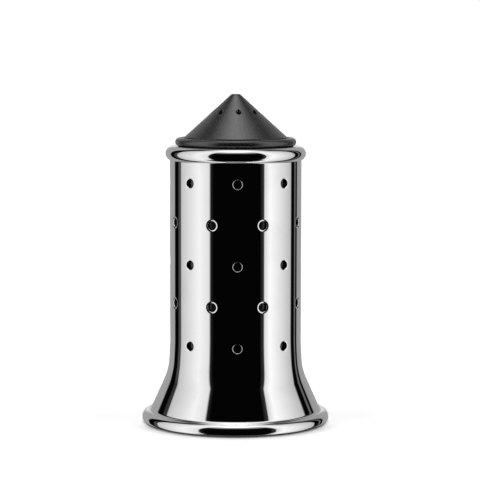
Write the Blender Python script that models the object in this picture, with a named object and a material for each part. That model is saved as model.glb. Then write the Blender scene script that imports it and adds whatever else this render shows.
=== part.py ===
"""Salt shaker: polished steel body with a flared foot, black container inside it and a black screw cap.

Metres, +Z up. The origin is on the shaker's axis, on the table that it stands on.
Angles round the axis are in degrees, counted from the front (-Y) towards the right (+X).
"""

import math

import bmesh
import bpy
from mathutils import Matrix, Vector

# Clearances
SEAT_GAP = 0.0003
GASKET_GAP = 0.0002
THREAD_CLEARANCE = 0.0003

# Steel tube and its flare
TUBE_RADIUS = 0.02103
SHELL_WALL = 0.0008
FLARE_ANGLE = 24.1
FLARE_LEAD_ANGLE = 4.5
FLARE_LEAD_RADIUS = 0.105
FLARE_BEND_RADIUS = 0.018

# Pierced holes in the tube
HOLE_ROWS = 5
HOLES_PER_ROW = 8
HOLE_RADIUS = 0.00137
HOLE_LIP_WIDTH = 0.0004
HOLE_LIP_DEPTH = 0.0004
HOLE_TOP_MARGIN = 0.00646
HOLE_BOTTOM_MARGIN = 0.00655
HOLE_TURN = 1.7

# Steel rim ring
BODY_HEIGHT = 0.08898
RIM_ROUND = 0.00242
RIM_OVERHANG = 0.00140
SPIGOT_WALL = 0.00133
SPIGOT_LENGTH = 0.0025

# Steel foot ring
FOOT_RADIUS = 0.030
FOOT_ROUND = 0.00277
FOOT_EQUATOR = 0.00148
FOOT_RING_WIDTH = 0.0048
FOOT_LEDGE_DEPTH = 0.0020

# Base plate and the ring that it stands on
PAD_PROUD = 0.0003
PAD_WIDTH = 0.0024
PAD_MARGIN = 0.0017
PLATE_RECESS = 0.0003
PLATE_THICKNESS = 0.0024
PAD_GROOVE_DEPTH = 0.0010
SNAP_DEPTH = 0.0003
SNAP_HEIGHT = 0.0006
COLLAR_WALL = 0.0012
COLLAR_HEIGHT = 0.0030

# Salt container
CONTAINER_WALL = 0.0013
CONTAINER_FLOOR = 0.0015
NECK_WALL = 0.0014

# Screw thread between the neck and the cap
THREAD_PITCH = 0.0030
THREAD_DEPTH = 0.0009
THREAD_ROOT_WIDTH = 0.0015
THREAD_CREST_WIDTH = 0.0007
THREAD_SINK = 0.0003
THREAD_MARGIN = 0.0001

# Screw cap
GASKET_THICKNESS = 0.0008
BEAD_GAP = 0.00037
BEAD_OVERHANG = 0.00105
BEAD_ROUND = 0.00133
CONE_HALF_ANGLE = 47.8
TIP_RADIUS = 0.00135
CAP_WALL = 0.0014
SKIRT_LENGTH = 0.0068
SKIRT_WALL = 0.0014
POUR_HOLES = 8
POUR_RADIUS = 0.00090
POUR_CIRCLE = 0.00735
POUR_TURN = 7.0

# Facets
AROUND = 48
HOLE_SIDES = 12

# Heights and radii that follow from the values above
shell_inner = TUBE_RADIUS - SHELL_WALL
rim_centre = (TUBE_RADIUS + RIM_OVERHANG - RIM_ROUND, BODY_HEIGHT - RIM_ROUND)
rim_seat = rim_centre[1] - math.sqrt(RIM_ROUND**2 - (RIM_ROUND - RIM_OVERHANG) ** 2)
rim_bore = shell_inner - SEAT_GAP - SPIGOT_WALL
spigot_end = rim_seat - SPIGOT_LENGTH

foot_bottom = PAD_PROUD
foot_centre = (FOOT_RADIUS - FOOT_ROUND, FOOT_EQUATOR)
foot_ledge = foot_bottom + FOOT_LEDGE_DEPTH
shell_end = foot_ledge + SEAT_GAP
plate_bottom = foot_bottom + PLATE_RECESS
plate_top = plate_bottom + PLATE_THICKNESS
foot_bore = FOOT_RADIUS - FOOT_RING_WIDTH
plate_radius = foot_bore - SEAT_GAP
snap_level = 0.5 * (plate_bottom + foot_ledge)
pad_outer = plate_radius - PAD_MARGIN
pad_inner = pad_outer - PAD_WIDTH

container_radius = shell_inner - SEAT_GAP
container_bottom = plate_top + SEAT_GAP
container_shoulder = spigot_end - SEAT_GAP
neck_radius = rim_bore - SEAT_GAP
neck_bore = neck_radius - NECK_WALL

bead_centre = (neck_radius + BEAD_OVERHANG - BEAD_ROUND, BEAD_ROUND)
bead_reach = RIM_ROUND + BEAD_GAP + BEAD_ROUND
bead_rise = math.sqrt(bead_reach**2 - (rim_centre[0] - bead_centre[0]) ** 2)
cap_seat = rim_centre[1] + bead_rise - BEAD_ROUND
gasket_bottom = cap_seat - GASKET_GAP - GASKET_THICKNESS
lip_top = gasket_bottom - GASKET_GAP
skirt_radius = neck_bore - THREAD_CLEARANCE - THREAD_DEPTH
skirt_bore = skirt_radius - SKIRT_WALL
skirt_end = cap_seat - SKIRT_LENGTH
neck_foot = min(container_shoulder, skirt_end - SEAT_GAP)

thread_slope = (THREAD_ROOT_WIDTH - THREAD_CREST_WIDTH) / THREAD_DEPTH
thread_root_half = 0.5 * (THREAD_ROOT_WIDTH + thread_slope * THREAD_SINK)
thread_start = skirt_end + thread_root_half + THREAD_MARGIN
thread_end = lip_top - thread_root_half - THREAD_MARGIN

flare_lead = math.radians(FLARE_LEAD_ANGLE)
flare_full = math.radians(FLARE_ANGLE)
flare_lead_out = FLARE_LEAD_RADIUS * (1 - math.cos(flare_lead))
flare_bend_out = FLARE_BEND_RADIUS * (math.cos(flare_lead) - math.cos(flare_full))
flare_bend_drop = FLARE_BEND_RADIUS * (math.sin(flare_full) - math.sin(flare_lead))
flare_straight_out = foot_centre[0] - TUBE_RADIUS - flare_lead_out - flare_bend_out
flare_bend_end = foot_centre[1] + FOOT_ROUND + flare_straight_out / math.tan(flare_full)
flare_bend_start = flare_bend_end + flare_bend_drop
flare_start = flare_bend_start + FLARE_LEAD_RADIUS * math.sin(flare_lead)


def arc(centre, radius, start, end, steps):
    """Points (r, z) of a circle from the start to the end angle in degrees, both ends included."""
    angles = [math.radians(start + (end - start) * step / steps) for step in range(steps + 1)]
    return [(centre[0] + radius * math.cos(a), centre[1] + radius * math.sin(a)) for a in angles]


def flare_outline(offset):
    """Points (r, z) of the flared foot, top to bottom, at this distance inside the shell's outer face.

    A slow lead-in arc, a tighter bend, then a straight stretch past the crown of the foot ring to its ledge.
    """
    lead_centre = (TUBE_RADIUS + FLARE_LEAD_RADIUS, flare_start)
    bend_centre = (
        TUBE_RADIUS + flare_lead_out + FLARE_BEND_RADIUS * math.cos(flare_lead),
        flare_bend_start + FLARE_BEND_RADIUS * math.sin(flare_lead),
    )
    lead_end = 180 + FLARE_LEAD_ANGLE
    points = arc(lead_centre, FLARE_LEAD_RADIUS + offset, 180, lead_end, 3)
    points += arc(bend_centre, FLARE_BEND_RADIUS + offset, lead_end, 180 + FLARE_ANGLE, 5)[1:]
    last_r, last_z = points[-1]
    points.append((last_r + (last_z - shell_end) * math.tan(flare_full), shell_end))
    return points


def hole_levels():
    """Heights of the rows of holes: spread evenly from below the rim to above the flare's bend."""
    top = rim_seat - HOLE_TOP_MARGIN
    bottom = flare_bend_start + HOLE_BOTTOM_MARGIN
    return [top + (bottom - top) * row / (HOLE_ROWS - 1) for row in range(HOLE_ROWS)]


def finish(name, colour, roughness, metallic=0.0):
    """A Principled material."""
    material = bpy.data.materials.new(name)
    material.use_nodes = True
    shader = material.node_tree.nodes["Principled BSDF"]
    shader.inputs["Base Color"].default_value = (*colour, 1.0)
    shader.inputs["Roughness"].default_value = roughness
    shader.inputs["Metallic"].default_value = metallic
    material.diffuse_color = (*colour, 1.0)
    return material


def add_object(name, shape, material=None, level=0.0):
    """Turns a bmesh into an object of this name, with its origin on the axis at this level."""
    bmesh.ops.recalc_face_normals(shape, faces=shape.faces)
    mesh = bpy.data.meshes.new(name)
    shape.to_mesh(mesh)
    shape.free()
    mesh.shade_smooth()
    mesh.set_sharp_from_angle(angle=math.radians(30))
    piece = bpy.data.objects.new(name, mesh)
    piece.location.z = level
    bpy.context.scene.collection.objects.link(piece)
    if material:
        mesh.materials.append(material)
    else:
        piece.hide_render = True
        piece.display_type = "WIRE"
    return piece


def turned(name, outline, material, level=0.0):
    """A piece turned from a closed outline of (r, z) points, which may start and end on the axis."""
    shape = bmesh.new()
    points = [shape.verts.new((r, 0.0, z)) for r, z in outline]
    edges = [
        shape.edges.new((a, b))
        for a, b in zip(points, points[1:] + points[:1])
        if a.co.x or b.co.x
    ]
    bmesh.ops.spin(shape, geom=points + edges, cent=(0, 0, 0), axis=(0, 0, 1),
                   angle=math.tau, steps=AROUND, use_merge=True)
    bmesh.ops.remove_doubles(shape, verts=shape.verts, dist=1e-7)
    return add_object(name, shape, material, level)


def add_tube(shape, loops):
    """Adds a closed solid whose cross-sections are these loops of points."""
    rings = [[shape.verts.new(point) for point in loop] for loop in loops]
    for low, high in zip(rings, rings[1:]):
        for k in range(len(low)):
            shape.faces.new((low[k - 1], low[k], high[k], high[k - 1]))
    shape.faces.new(rings[0])
    shape.faces.new(rings[-1])


def drill(name, places, rings, level=0.0):
    """A cutter of round plugs, one at each place; the rings are (height, radius) along a place's own Z."""
    shape = bmesh.new()
    for place in places:
        loops = [
            [
                place @ Vector((radius * math.cos(turn), radius * math.sin(turn), height))
                for turn in (math.tau * k / HOLE_SIDES for k in range(HOLE_SIDES))
            ]
            for height, radius in rings
        ]
        add_tube(shape, loops)
    return add_object(name, shape, level=level)


def thread_ridge(name, wall_radius, inward, start_turn, level=0.0):
    """A right-hand thread's ridge on a wall of this radius, standing inwards or outwards from it."""
    side = -1.0 if inward else 1.0
    root = wall_radius - side * THREAD_SINK
    crest = wall_radius + side * THREAD_DEPTH
    crest_half = 0.5 * THREAD_CREST_WIDTH
    section = [
        (root, -thread_root_half),
        (crest, -crest_half),
        (crest, crest_half),
        (root, thread_root_half),
    ]
    steps = int((thread_end - thread_start) / THREAD_PITCH * AROUND)
    loops = []
    for step in range(steps + 1):
        turned_by = step / AROUND
        spin = Matrix.Rotation(math.tau * (start_turn + turned_by), 4, "Z")
        rise = thread_start + THREAD_PITCH * turned_by - level
        loops.append([spin @ Vector((r, 0.0, z + rise)) for r, z in section])
    shape = bmesh.new()
    add_tube(shape, loops)
    return add_object(name, shape, level=level)


def boolean(piece, tool, operation):
    """Cuts the tool from a piece, or joins it to the piece."""
    modifier = piece.modifiers.new(tool.name, "BOOLEAN")
    modifier.operation = operation
    modifier.object = tool


def around(count, turn):
    """Turns about +Z that carry the front (-Y) to each of evenly spaced places, the first at this angle."""
    return [Matrix.Rotation(math.radians(turn + 360 * k / count), 4, "Z") for k in range(count)]


def make_body_shell(steel):
    """Tube with a flared foot and rows of rolled-in holes, alternate rows shifted by half a step."""
    tube_top = rim_seat - SEAT_GAP
    outer = [(TUBE_RADIUS, tube_top)] + flare_outline(0.0)
    inner = [(shell_inner, tube_top)] + flare_outline(SHELL_WALL)
    shell = turned("body_shell", outer + inner[::-1], steel)

    outward = Matrix.Rotation(math.radians(90), 4, "X")
    places = []
    for row, height in enumerate(hole_levels()):
        shift = 180 / HOLES_PER_ROW * (row % 2)
        lift = Matrix.Translation((0, 0, height))
        places += [lift @ spin @ outward for spin in around(HOLES_PER_ROW, HOLE_TURN + shift)]
    slope = HOLE_LIP_WIDTH / HOLE_LIP_DEPTH
    rings = [
        (shell_inner - SHELL_WALL, HOLE_RADIUS),
        (TUBE_RADIUS - HOLE_LIP_DEPTH, HOLE_RADIUS),
        (TUBE_RADIUS + SHELL_WALL, HOLE_RADIUS + slope * (HOLE_LIP_DEPTH + SHELL_WALL)),
    ]
    boolean(shell, drill("shell_hole_cutter", places, rings), "DIFFERENCE")
    return shell


def make_rim_ring(steel):
    """Round ring on the tube's end, with a spigot that fits inside the tube."""
    low = -math.degrees(math.acos((RIM_ROUND - RIM_OVERHANG) / RIM_ROUND))
    high = math.degrees(math.acos((rim_bore - rim_centre[0]) / RIM_ROUND))
    spigot_radius = shell_inner - SEAT_GAP
    outline = arc(rim_centre, RIM_ROUND, high, low, 13)
    outline += [(spigot_radius, rim_seat), (spigot_radius, spigot_end), (rim_bore, spigot_end)]
    return turned("rim_ring", outline, steel)


def make_base_ring(steel):
    """Foot ring: round outside, with a ledge for the flared shell and a groove for the plate's snap bead."""
    shell_foot = flare_outline(0.0)[-1][0] + SEAT_GAP / math.cos(flare_full)
    wall_foot = shell_foot + (shell_end - foot_ledge) * math.tan(flare_full)
    wall_reach = (wall_foot - foot_centre[0]) * math.cos(flare_full)
    wall_reach += (foot_ledge - foot_centre[1]) * math.sin(flare_full)
    lip_angle = FLARE_ANGLE + math.degrees(math.acos(wall_reach / FOOT_ROUND))
    under_round = FOOT_EQUATOR - foot_bottom
    under_centre = (FOOT_RADIUS - under_round, FOOT_EQUATOR)
    groove = foot_bore + 2 * SNAP_DEPTH
    groove_half = 0.5 * SNAP_HEIGHT + SEAT_GAP
    outline = [(foot_bore, foot_ledge), (wall_foot, foot_ledge)]
    outline += arc(foot_centre, FOOT_ROUND, lip_angle, 0, 8)
    outline += arc(under_centre, under_round, 0, -90, 4)[1:]
    outline += [
        (foot_bore, foot_bottom),
        (foot_bore, snap_level - groove_half),
        (groove, snap_level - groove_half),
        (groove, snap_level + groove_half),
        (foot_bore, snap_level + groove_half),
    ]
    return turned("base_ring", outline, steel)


def make_salt_container(plastic):
    """Closed-bottomed liner with a shoulder under the rim ring and a neck threaded inside."""
    bore = container_radius - CONTAINER_WALL
    outline = [
        (0.0, container_bottom),
        (container_radius, container_bottom),
        (container_radius, container_shoulder),
        (neck_radius, container_shoulder),
        (neck_radius, lip_top),
        (neck_bore, lip_top),
        (neck_bore, neck_foot),
        (bore, neck_foot - (bore - neck_bore)),
        (bore, container_bottom + CONTAINER_FLOOR),
        (0.0, container_bottom + CONTAINER_FLOOR),
    ]
    container = turned("salt_container", outline, plastic)
    boolean(container, thread_ridge("neck_thread", neck_bore, True, 0.5), "UNION")
    return container


def make_base_plate(plastic):
    """Disc that snaps into the foot ring, with a collar round the container and a groove for the pad."""
    collar_bore = container_radius + SEAT_GAP
    collar_top = plate_top + COLLAR_HEIGHT
    snap_radius = plate_radius + 2 * SNAP_DEPTH
    snap_half = 0.5 * SNAP_HEIGHT
    groove_inner = pad_inner - SEAT_GAP
    groove_outer = pad_outer + SEAT_GAP
    groove_top = plate_bottom + PAD_GROOVE_DEPTH
    outline = [
        (0.0, plate_top),
        (collar_bore, plate_top),
        (collar_bore, collar_top),
        (collar_bore + COLLAR_WALL, collar_top),
        (collar_bore + COLLAR_WALL, plate_top),
        (plate_radius, plate_top),
        (plate_radius, snap_level + snap_half),
        (snap_radius, snap_level),
        (plate_radius, snap_level - snap_half),
        (plate_radius, plate_bottom),
        (groove_outer, plate_bottom),
        (groove_outer, groove_top),
        (groove_inner, groove_top),
        (groove_inner, plate_bottom),
        (0.0, plate_bottom),
    ]
    return turned("base_plate", outline, plastic)


def make_non_slip_ring(rubber):
    """Flat ring in the base plate's groove, standing proud of the steel so that the shaker rests on it."""
    top = plate_bottom + PAD_GROOVE_DEPTH - SEAT_GAP
    outline = [(pad_inner, 0.0), (pad_inner, top), (pad_outer, top), (pad_outer, 0.0)]
    return turned("non_slip_ring", outline, rubber)


def make_cap_gasket(rubber):
    """Flat sealing ring round the skirt, between the cap and the container's lip."""
    inner = skirt_radius + SEAT_GAP
    low = gasket_bottom - cap_seat
    high = low + GASKET_THICKNESS
    outline = [(inner, low), (inner, high), (neck_radius, high), (neck_radius, low)]
    return turned("cap_gasket", outline, rubber, cap_seat)


def make_screw_cap(plastic):
    """Hollow cone with a bead at its base, pour holes and a threaded skirt; its origin is on its seat."""
    half_angle = math.radians(CONE_HALF_ANGLE)
    bead = arc(bead_centre, BEAD_ROUND, 135, -90, 12)
    crease_r, crease_z = bead[0]
    tip_z = crease_z + (crease_r - TIP_RADIUS) / math.tan(half_angle)
    inset = CAP_WALL / math.cos(half_angle)
    inner_foot = crease_z + (crease_r - inset - skirt_bore) / math.tan(half_angle)
    inner_head = inner_foot + (skirt_bore - TIP_RADIUS) / math.tan(half_angle)
    outline = [(0.0, tip_z), (TIP_RADIUS, tip_z)] + bead
    outline += [
        (skirt_radius, 0.0),
        (skirt_radius, -SKIRT_LENGTH),
        (skirt_bore, -SKIRT_LENGTH),
        (skirt_bore, inner_foot),
        (TIP_RADIUS, inner_head),
        (0.0, inner_head),
    ]
    cap = turned("screw_cap", outline, plastic, cap_seat)
    boolean(cap, thread_ridge("skirt_thread", skirt_radius, False, 0.0, cap_seat), "UNION")

    out = Matrix.Translation((0, -POUR_CIRCLE, 0))
    places = [spin @ out for spin in around(POUR_HOLES, POUR_TURN)]
    rings = [(crease_z, POUR_RADIUS), (tip_z, POUR_RADIUS)]
    boolean(cap, drill("pour_hole_cutter", places, rings, cap_seat), "DIFFERENCE")
    return cap


def main():
    for old in list(bpy.data.objects):
        bpy.data.objects.remove(old)

    steel = finish("polished_steel", (0.78, 0.77, 0.75), 0.05, 1.0)
    matt_black = finish("matt_black_plastic", (0.030, 0.029, 0.029), 0.45)
    gloss_black = finish("gloss_black_plastic", (0.008, 0.008, 0.009), 0.12)
    rubber = finish("black_rubber", (0.020, 0.020, 0.020), 0.85)

    body = bpy.data.objects.new("shaker_body", None)
    bpy.context.scene.collection.objects.link(body)
    fixed = [
        make_body_shell(steel),
        make_rim_ring(steel),
        make_base_ring(steel),
        make_salt_container(gloss_black),
        make_base_plate(matt_black),
        make_non_slip_ring(rubber),
    ]
    for piece in fixed:
        piece.parent = body

    gasket = make_cap_gasket(rubber)
    cap = make_screw_cap(matt_black)
    gasket.parent = body
    cap.parent = body


main()
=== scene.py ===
"""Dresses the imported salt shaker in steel, black plastic and rubber, and sets it in a small studio.

Metres, +Z up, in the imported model's own frame: the origin is on the shaker's axis, on the table.
Angles round the axis are in degrees, counted from the front (-Y) towards the right (+X).
A turned piece is given by its outline, a list of (radius, height) points.
"""

from __future__ import annotations

import logging
import math
from collections.abc import Callable, Iterator, Mapping, Sequence
from contextlib import contextmanager
from dataclasses import dataclass, field
from enum import Enum

import bmesh
import bpy
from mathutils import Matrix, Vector

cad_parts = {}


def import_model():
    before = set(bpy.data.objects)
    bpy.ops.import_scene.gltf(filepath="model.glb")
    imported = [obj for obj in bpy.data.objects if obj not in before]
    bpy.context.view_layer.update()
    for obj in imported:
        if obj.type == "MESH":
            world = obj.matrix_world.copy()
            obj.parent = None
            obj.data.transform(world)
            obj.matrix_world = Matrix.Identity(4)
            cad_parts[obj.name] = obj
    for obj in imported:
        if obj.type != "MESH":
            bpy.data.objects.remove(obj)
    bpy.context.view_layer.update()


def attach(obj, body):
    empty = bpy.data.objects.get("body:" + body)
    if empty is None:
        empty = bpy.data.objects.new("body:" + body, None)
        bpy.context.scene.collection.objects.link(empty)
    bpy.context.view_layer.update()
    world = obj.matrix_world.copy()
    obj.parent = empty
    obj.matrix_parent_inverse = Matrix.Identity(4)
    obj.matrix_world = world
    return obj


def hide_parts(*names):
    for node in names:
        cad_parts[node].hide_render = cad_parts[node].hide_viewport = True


LOG = logging.getLogger("salt_shaker")

Point = tuple[float, float]
Piece = bpy.types.Object
Colour = tuple[float, float, float, float]

ZENITH = 90.0
NADIR = -90.0


class Body(Enum):
    """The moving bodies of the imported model."""

    SHAKER = "body"
    GASKET = "gasket"
    CAP = "cap"


class Slot(Enum):
    """The shaker's material slots."""

    STEEL = "polished_steel"
    GLOSS_BLACK = "gloss_black_plastic"
    MATT_BLACK = "matt_black_plastic"
    RUBBER = "black_rubber"


def on_circle(centre: Point, radius: float, angle: float) -> Point:
    """The point of a circle at an angle in degrees, from the outward direction upwards."""
    turn = math.radians(angle)
    return centre[0] + radius * math.cos(turn), centre[1] + radius * math.sin(turn)


def arc(centre: Point, radius: float, start: float, end: float, steps: int) -> list[Point]:
    """Points along a circle's arc.

    Args:
        centre: The circle's centre.
        radius: Its radius.
        start: Angle of the first point in degrees, from the outward direction upwards.
        end: Angle of the last point.
        steps: Number of equal steps.

    Returns:
        The points, with both ends.
    """
    angles = [start + (end - start) * step / steps for step in range(steps + 1)]
    return [on_circle(centre, radius, angle) for angle in angles]


def run(start: Point, end: Point, steps: int) -> list[Point]:
    """Points along a straight line.

    Args:
        start: The line's start, which is left out of the result.
        end: Its end.
        steps: Number of equal steps.

    Returns:
        The points after the start, up to the end.
    """
    shares = [step / steps for step in range(1, steps + 1)]
    return [(start[0] + (end[0] - start[0]) * s, start[1] + (end[1] - start[1]) * s) for s in shares]


class Bench:
    """Blender's modelling tools, used on one piece at a time; points closer than TOUCH are one."""

    TOUCH = 1e-6

    @staticmethod
    def clear() -> None:
        """Leaves edit mode and deselects everything."""
        if bpy.context.mode != "OBJECT":
            bpy.ops.object.mode_set(mode="OBJECT")
        bpy.ops.object.select_all(action="DESELECT")

    @staticmethod
    def take(*pieces: Piece) -> None:
        """Selects these pieces alone and makes the first one active.

        Args:
            pieces: The pieces.
        """
        Bench.clear()
        for piece in pieces:
            piece.select_set(True)
        bpy.context.view_layer.objects.active = pieces[0]

    @staticmethod
    @contextmanager
    def editing(piece: Piece) -> Iterator[None]:
        """Opens a piece in edit mode, with nothing selected in it, and closes it again.

        Args:
            piece: The piece to edit.

        Returns:
            A context for the with statement.
        """
        Bench.take(piece)
        bpy.ops.object.mode_set(mode="EDIT")
        bpy.ops.mesh.select_mode(type="VERT")
        bpy.ops.mesh.select_all(action="DESELECT")
        yield
        bpy.ops.object.mode_set(mode="OBJECT")

    @staticmethod
    def pick(piece: Piece, wanted: Callable[[Vector], bool]) -> None:
        """Selects points of the piece in edit mode by their place.

        Args:
            piece: The piece that is open in edit mode.
            wanted: Says whether a point at this place is selected.
        """
        bpy.ops.mesh.select_all(action="DESELECT")
        shape = bmesh.from_edit_mesh(piece.data)
        for point in shape.verts:
            point.select_set(wanted(point.co))
        shape.select_flush(True)
        bmesh.update_edit_mesh(piece.data)

    @staticmethod
    def name(piece: Piece, name: str) -> Piece:
        """Names a piece and its mesh.

        Args:
            piece: The piece.
            name: Its new name.

        Returns:
            The same piece.
        """
        piece.name = name
        piece.data.name = name
        return piece

    @staticmethod
    def turn(name: str, outline: Sequence[Point], sides: int) -> Piece:
        """Turns a piece from its outline: a circle, extruded and resized from point to point.

        Args:
            name: The piece's name.
            outline: The outline; it may start or end on the axis, or end where it started.
            sides: Number of sides round the axis.

        Returns:
            The open or closed piece, not yet finished.
        """
        Bench.clear()
        on_axis = outline[0][0] == 0
        points = outline[1:] if on_axis else outline
        radius, height = points[0]
        fill = "TRIFAN" if on_axis else "NOTHING"
        bpy.ops.mesh.primitive_circle_add(vertices=sides, radius=radius, fill_type=fill)
        piece = Bench.name(bpy.context.object, name)
        with Bench.editing(piece):
            bpy.ops.mesh.select_all(action="SELECT")
            bpy.ops.transform.translate(value=(0, 0, height))
            if on_axis:
                bpy.ops.mesh.region_to_loop()
            for next_radius, next_height in points[1:]:
                rise = {"value": (0, 0, next_height - height)}
                bpy.ops.mesh.extrude_region_move(TRANSFORM_OT_translate=rise)
                if next_radius:
                    growth = next_radius / radius
                    bpy.ops.transform.resize(
                        value=(growth, growth, 1), center_override=(0, 0, next_height)
                    )
                else:
                    bpy.ops.mesh.merge(type="CENTER")
                radius, height = next_radius, next_height
        return piece

    @staticmethod
    def turned(name: str, outline: Sequence[Point], sides: int) -> Piece:
        """Turns a closed piece and finishes it.

        Args:
            name: The piece's name.
            outline: The outline; one that starts off the axis is closed back to its start.
            sides: Number of sides round the axis.

        Returns:
            The finished piece.
        """
        on_axis = outline[0][0] == 0
        closed = outline if on_axis else [*outline, outline[0]]
        return Bench.finish(Bench.turn(name, closed, sides))

    @staticmethod
    def join(piece: Piece, *others: Piece) -> Piece:
        """Joins other pieces into this one.

        Args:
            piece: The piece that stays.
            others: The pieces that become part of it.

        Returns:
            The piece that stays.
        """
        Bench.take(piece, *others)
        bpy.ops.object.join()
        return piece

    @staticmethod
    def apply(piece: Piece, modifier: bpy.types.Modifier) -> None:
        """Applies one of a piece's modifiers."""
        Bench.take(piece)
        bpy.ops.object.modifier_apply(modifier=modifier.name)

    @staticmethod
    def settle(*pieces: Piece) -> None:
        """Moves the place, turn and size of these pieces into their meshes."""
        Bench.take(*pieces)
        bpy.ops.object.transform_apply(location=True, rotation=True, scale=True)

    @staticmethod
    def cut(piece: Piece, cutter: Piece) -> None:
        """Cuts a cutter out of a piece and throws the cutter away.

        Args:
            piece: The piece.
            cutter: The closed cutter.
        """
        modifier = piece.modifiers.new("cut", "BOOLEAN")
        modifier.operation = "DIFFERENCE"
        modifier.object = cutter
        Bench.apply(piece, modifier)
        Bench.take(cutter)
        bpy.ops.object.delete()

    @staticmethod
    def finish(piece: Piece, sharp: float = 30.0) -> Piece:
        """Merges a piece's seams, turns its faces outwards and shades it.

        Args:
            piece: The piece.
            sharp: Edges with a larger angle between their faces, in degrees, stay sharp.

        Returns:
            The same piece.
        """
        with Bench.editing(piece):
            bpy.ops.mesh.select_all(action="SELECT")
            bpy.ops.mesh.remove_doubles(threshold=Bench.TOUCH)
            bpy.ops.mesh.normals_make_consistent(inside=False)
        Bench.settle(piece)
        bpy.ops.object.shade_smooth_by_angle(angle=math.radians(sharp))
        return piece


class Wire:
    """A shader value that can be used in Python expressions."""

    def __init__(self, graph: Graph, socket: bpy.types.NodeSocket) -> None:
        """Wraps an output socket of a graph."""
        self.graph = graph
        self.socket = socket

    def __add__(self, other: Wire | float) -> Wire:
        """The sum."""
        return self.graph.math("ADD", self, other)

    def __radd__(self, other: float) -> Wire:
        """The sum, with the number first."""
        return self.graph.math("ADD", other, self)

    def __sub__(self, other: Wire | float) -> Wire:
        """The difference."""
        return self.graph.math("SUBTRACT", self, other)

    def __rsub__(self, other: float) -> Wire:
        """The difference, with the number first."""
        return self.graph.math("SUBTRACT", other, self)

    def __mul__(self, other: Wire | float) -> Wire:
        """The product."""
        return self.graph.math("MULTIPLY", self, other)

    def __rmul__(self, other: float) -> Wire:
        """The product, with the number first."""
        return self.graph.math("MULTIPLY", other, self)

    def __neg__(self) -> Wire:
        """The value with its sign turned."""
        return self.graph.math("MULTIPLY", self, -1.0)

    def ramp(self, low: float, high: float, start: float = 0.0, end: float = 1.0) -> Wire:
        """An eased change from one value to another.

        Args:
            low: Where the change begins; it may lie above high, which turns the change round.
            high: Where it ends.
            start: The value before it.
            end: The value after it.

        Returns:
            The changing value.
        """
        if low > high:
            low, high, start, end = high, low, end, start
        sockets = {"Value": self, 1: low, 2: high, 3: start, 4: end}
        eased = {"interpolation_type": "SMOOTHSTEP"}
        return self.graph.add("ShaderNodeMapRange", eased, sockets)["Result"]


Value = Wire | float | Sequence[float]


class Node:
    """A node of a graph, whose outputs are read by name."""

    def __init__(self, graph: Graph, node: bpy.types.Node) -> None:
        """Wraps a node."""
        self.graph = graph
        self.node = node

    def __getitem__(self, output: str) -> Wire:
        """The output of this name."""
        return Wire(self.graph, self.node.outputs[output])


class Graph:
    """A node tree that is written as expressions."""

    def __init__(self, tree: bpy.types.NodeTree) -> None:
        """Takes over a tree and empties it."""
        self.tree = tree
        tree.nodes.clear()

    def add(
        self,
        kind: str,
        settings: Mapping[str, object] | None = None,
        sockets: Mapping[str | int, Value] | None = None,
    ) -> Node:
        """Adds a node.

        Args:
            kind: The node's type.
            settings: Its settings, which are set first.
            sockets: Values or links of its input sockets, by identifier, name or number.

        Returns:
            The node.
        """
        node = self.tree.nodes.new(kind)
        for key, setting in (settings or {}).items():
            setattr(node, key, setting)
        by_identifier = {socket.identifier: socket for socket in node.inputs}
        for key, value in (sockets or {}).items():
            socket = by_identifier.get(key) or node.inputs[key]
            if isinstance(value, Wire):
                self.tree.links.new(value.socket, socket)
            else:
                socket.default_value = value
        return Node(self, node)

    def math(self, operation: str, first: Wire | float, second: Wire | float = 0.0) -> Wire:
        """A Math node's result.

        Args:
            operation: The Math node's operation.
            first: Its first value.
            second: Its second value.

        Returns:
            The result.
        """
        return self.add("ShaderNodeMath", {"operation": operation}, {0: first, 1: second})["Value"]

    def blend(self, share: Wire, first: Value, second: Value) -> Wire:
        """A colour between two colours.

        Args:
            share: The second colour's share.
            first: The first colour.
            second: The second colour.

        Returns:
            The blended colour.
        """
        sockets = {"Factor_Float": share, "A_Color": first, "B_Color": second}
        mix = self.add("ShaderNodeMix", {"data_type": "RGBA"}, sockets)
        return Wire(self, next(o for o in mix.node.outputs if o.identifier == "Result_Color"))

    def place(self) -> Wire:
        """Places on the piece, in metres."""
        return self.add("ShaderNodeTexCoord")["Object"]

    def stretched(self, scale: Sequence[float]) -> Wire:
        """Places on the piece, scaled along each axis."""
        return self.add("ShaderNodeMapping", {}, {"Vector": self.place(), "Scale": scale})["Vector"]

    def bump(self, height: Wire, strength: float, depth: float) -> Wire:
        """The direction of a surface that is raised a little.

        Args:
            height: How high it is raised, from 0 to 1.
            strength: How much of that shows.
            depth: The length, in metres, that a height of 1 stands for.

        Returns:
            The direction, for a shader's Normal.
        """
        sockets = {"Strength": strength, "Distance": depth, "Height": height}
        return self.add("ShaderNodeBump", {}, sockets)["Normal"]

    def principled(self, sockets: Mapping[str | int, Value]) -> Wire:
        """A Principled shader with these values or links."""
        return self.add("ShaderNodeBsdfPrincipled", {}, sockets)["BSDF"]


@dataclass(frozen=True)
class Clouds:
    """A layer of cloudy noise; the range from low to high, where given, is spread over 0 to 1."""

    scale: float
    detail: float = 2.0
    roughness: float = 0.5
    low: float = 0.0
    high: float = 0.0

    def at(self, graph: Graph, place: Wire) -> Wire:
        """Reads the noise.

        Args:
            graph: The graph that it is drawn on.
            place: Where it is read.

        Returns:
            The noise, from 0 to 1.
        """
        sockets = {
            "Vector": place,
            "Scale": self.scale,
            "Detail": self.detail,
            "Roughness": self.roughness,
        }
        noise = graph.add("ShaderNodeTexNoise", {}, sockets)["Fac"]
        return noise.ramp(self.low, self.high) if self.high > self.low else noise


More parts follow.
